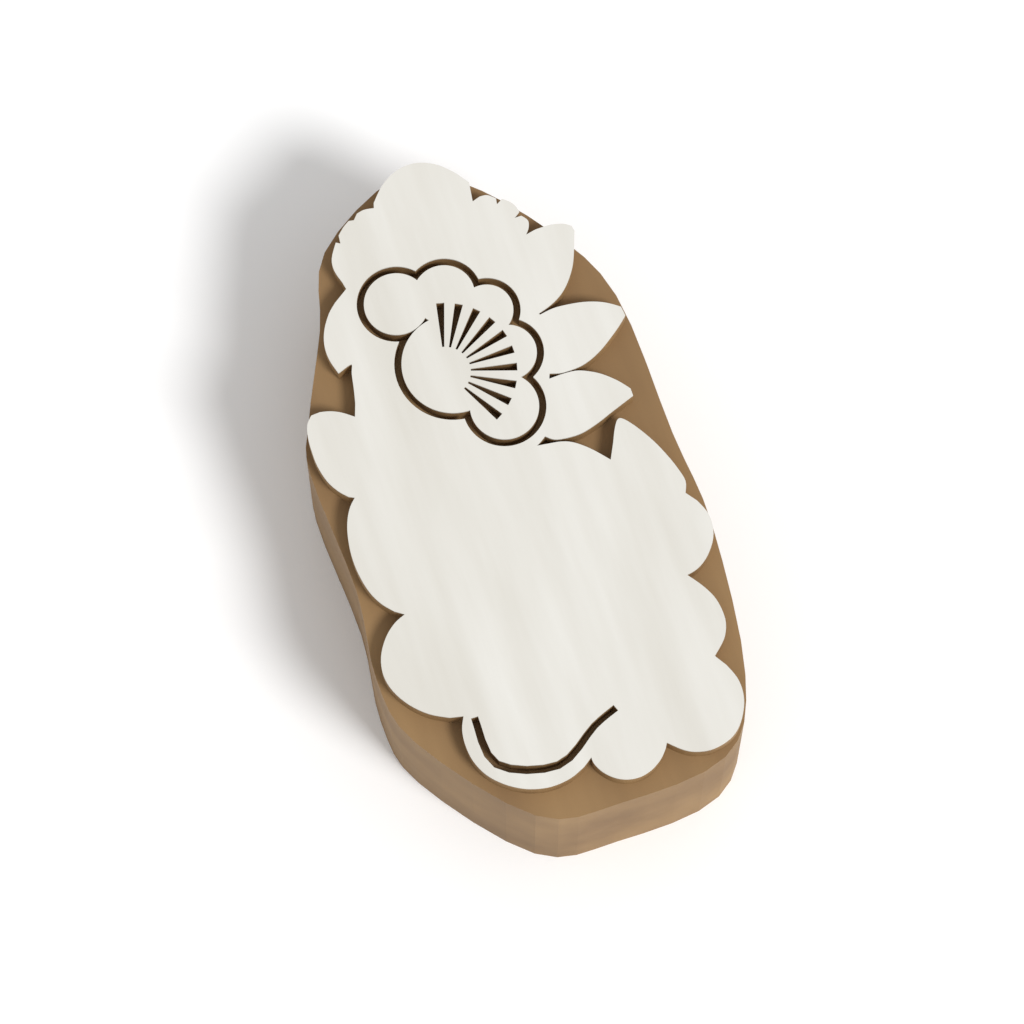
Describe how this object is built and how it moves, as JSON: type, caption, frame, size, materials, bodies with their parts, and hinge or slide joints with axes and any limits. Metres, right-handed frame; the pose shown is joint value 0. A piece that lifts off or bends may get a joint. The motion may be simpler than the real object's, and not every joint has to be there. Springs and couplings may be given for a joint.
{
  "type": "wooden printing block",
  "caption": "Hand-carved wooden printing block with a raised floral pattern on its face.",
  "frame": {"origin": "on the flat back under the middle of the pattern", "axes": "+Z out of the printing face, +Y to the top of the pattern"},
  "size_m": [0.0711, 0.1336, 0.038],
  "materials": {
    "wood": "rough sawn",
    "face": "whitened"
  },
  "bodies": {
    "root": {"block": "wood", "fan_flower": "face", "upper_motifs": "face", "lower_motifs": "face"}
  },
  "joints": []
}
